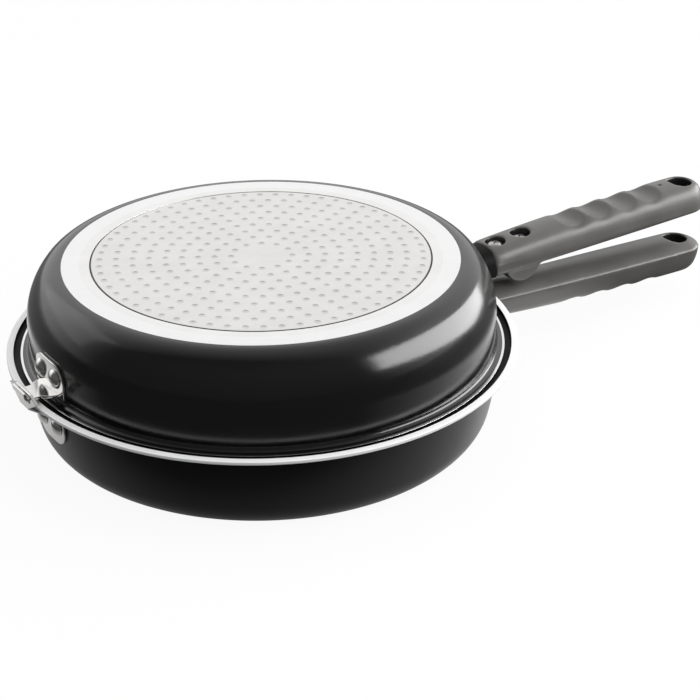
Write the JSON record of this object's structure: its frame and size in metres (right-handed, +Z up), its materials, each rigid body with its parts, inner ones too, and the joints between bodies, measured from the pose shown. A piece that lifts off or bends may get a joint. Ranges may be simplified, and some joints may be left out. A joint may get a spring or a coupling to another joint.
{
  "type": "double sided flip pan",
  "caption": "Two round frying pans hinged rim to rim, each with a grip handle, riveted brackets and a steel base plate; opens like a clamshell.",
  "frame": {"origin": "centre of the lower pan's base, on the plane it stands on", "axes": "+X from the hinge towards the handles, +Z up through both pans"},
  "size_m": [0.4305, 0.26, 0.0904],
  "materials": {
    "coated_aluminium": "dark non-stick and enamel coating, bare bright lip and base ring",
    "base_steel": "warm grey, lightly brushed",
    "hinge_steel": "polished stainless",
    "rivet_steel": "polished domes",
    "bracket_steel": "satin black",
    "guard_metal": "satin black",
    "grip": "bronze grey satin soft-touch",
    "screw_steel": "plain",
    "washer_steel": "bright"
  },
  "bodies": {
    "lower_half": {"lower_pan": "coated_aluminium", "lower_base_plate": "base_steel", "lower_hinge_bracket": "hinge_steel", "lower_hinge_rivets": "rivet_steel", "lower_handle_bracket": "bracket_steel", "lower_handle_rivets": "rivet_steel", "lower_flame_guard": "guard_metal", "lower_handle": "grip", "lower_front_screw": "screw_steel", "lower_rear_screw": "screw_steel", "lower_screw_washers": "washer_steel"},
    "upper_half": {"upper_pan": "coated_aluminium", "upper_base_plate": "base_steel", "upper_hinge_bracket": "hinge_steel", "upper_hinge_rivets": "rivet_steel", "upper_handle_bracket": "bracket_steel", "upper_handle_rivets": "rivet_steel", "upper_flame_guard": "guard_metal", "upper_handle": "grip", "upper_front_screw": "screw_steel", "upper_rear_screw": "screw_steel", "upper_screw_washers": "washer_steel"}
  },
  "joints": [
    {"name": "pan_hinge", "type": "hinge", "parent": "lower_half", "child": "upper_half", "pos_m": [-0.13245, 0, 0.0529], "axis": [0, -1, 0], "range_deg": [0, 110]}
  ]
}
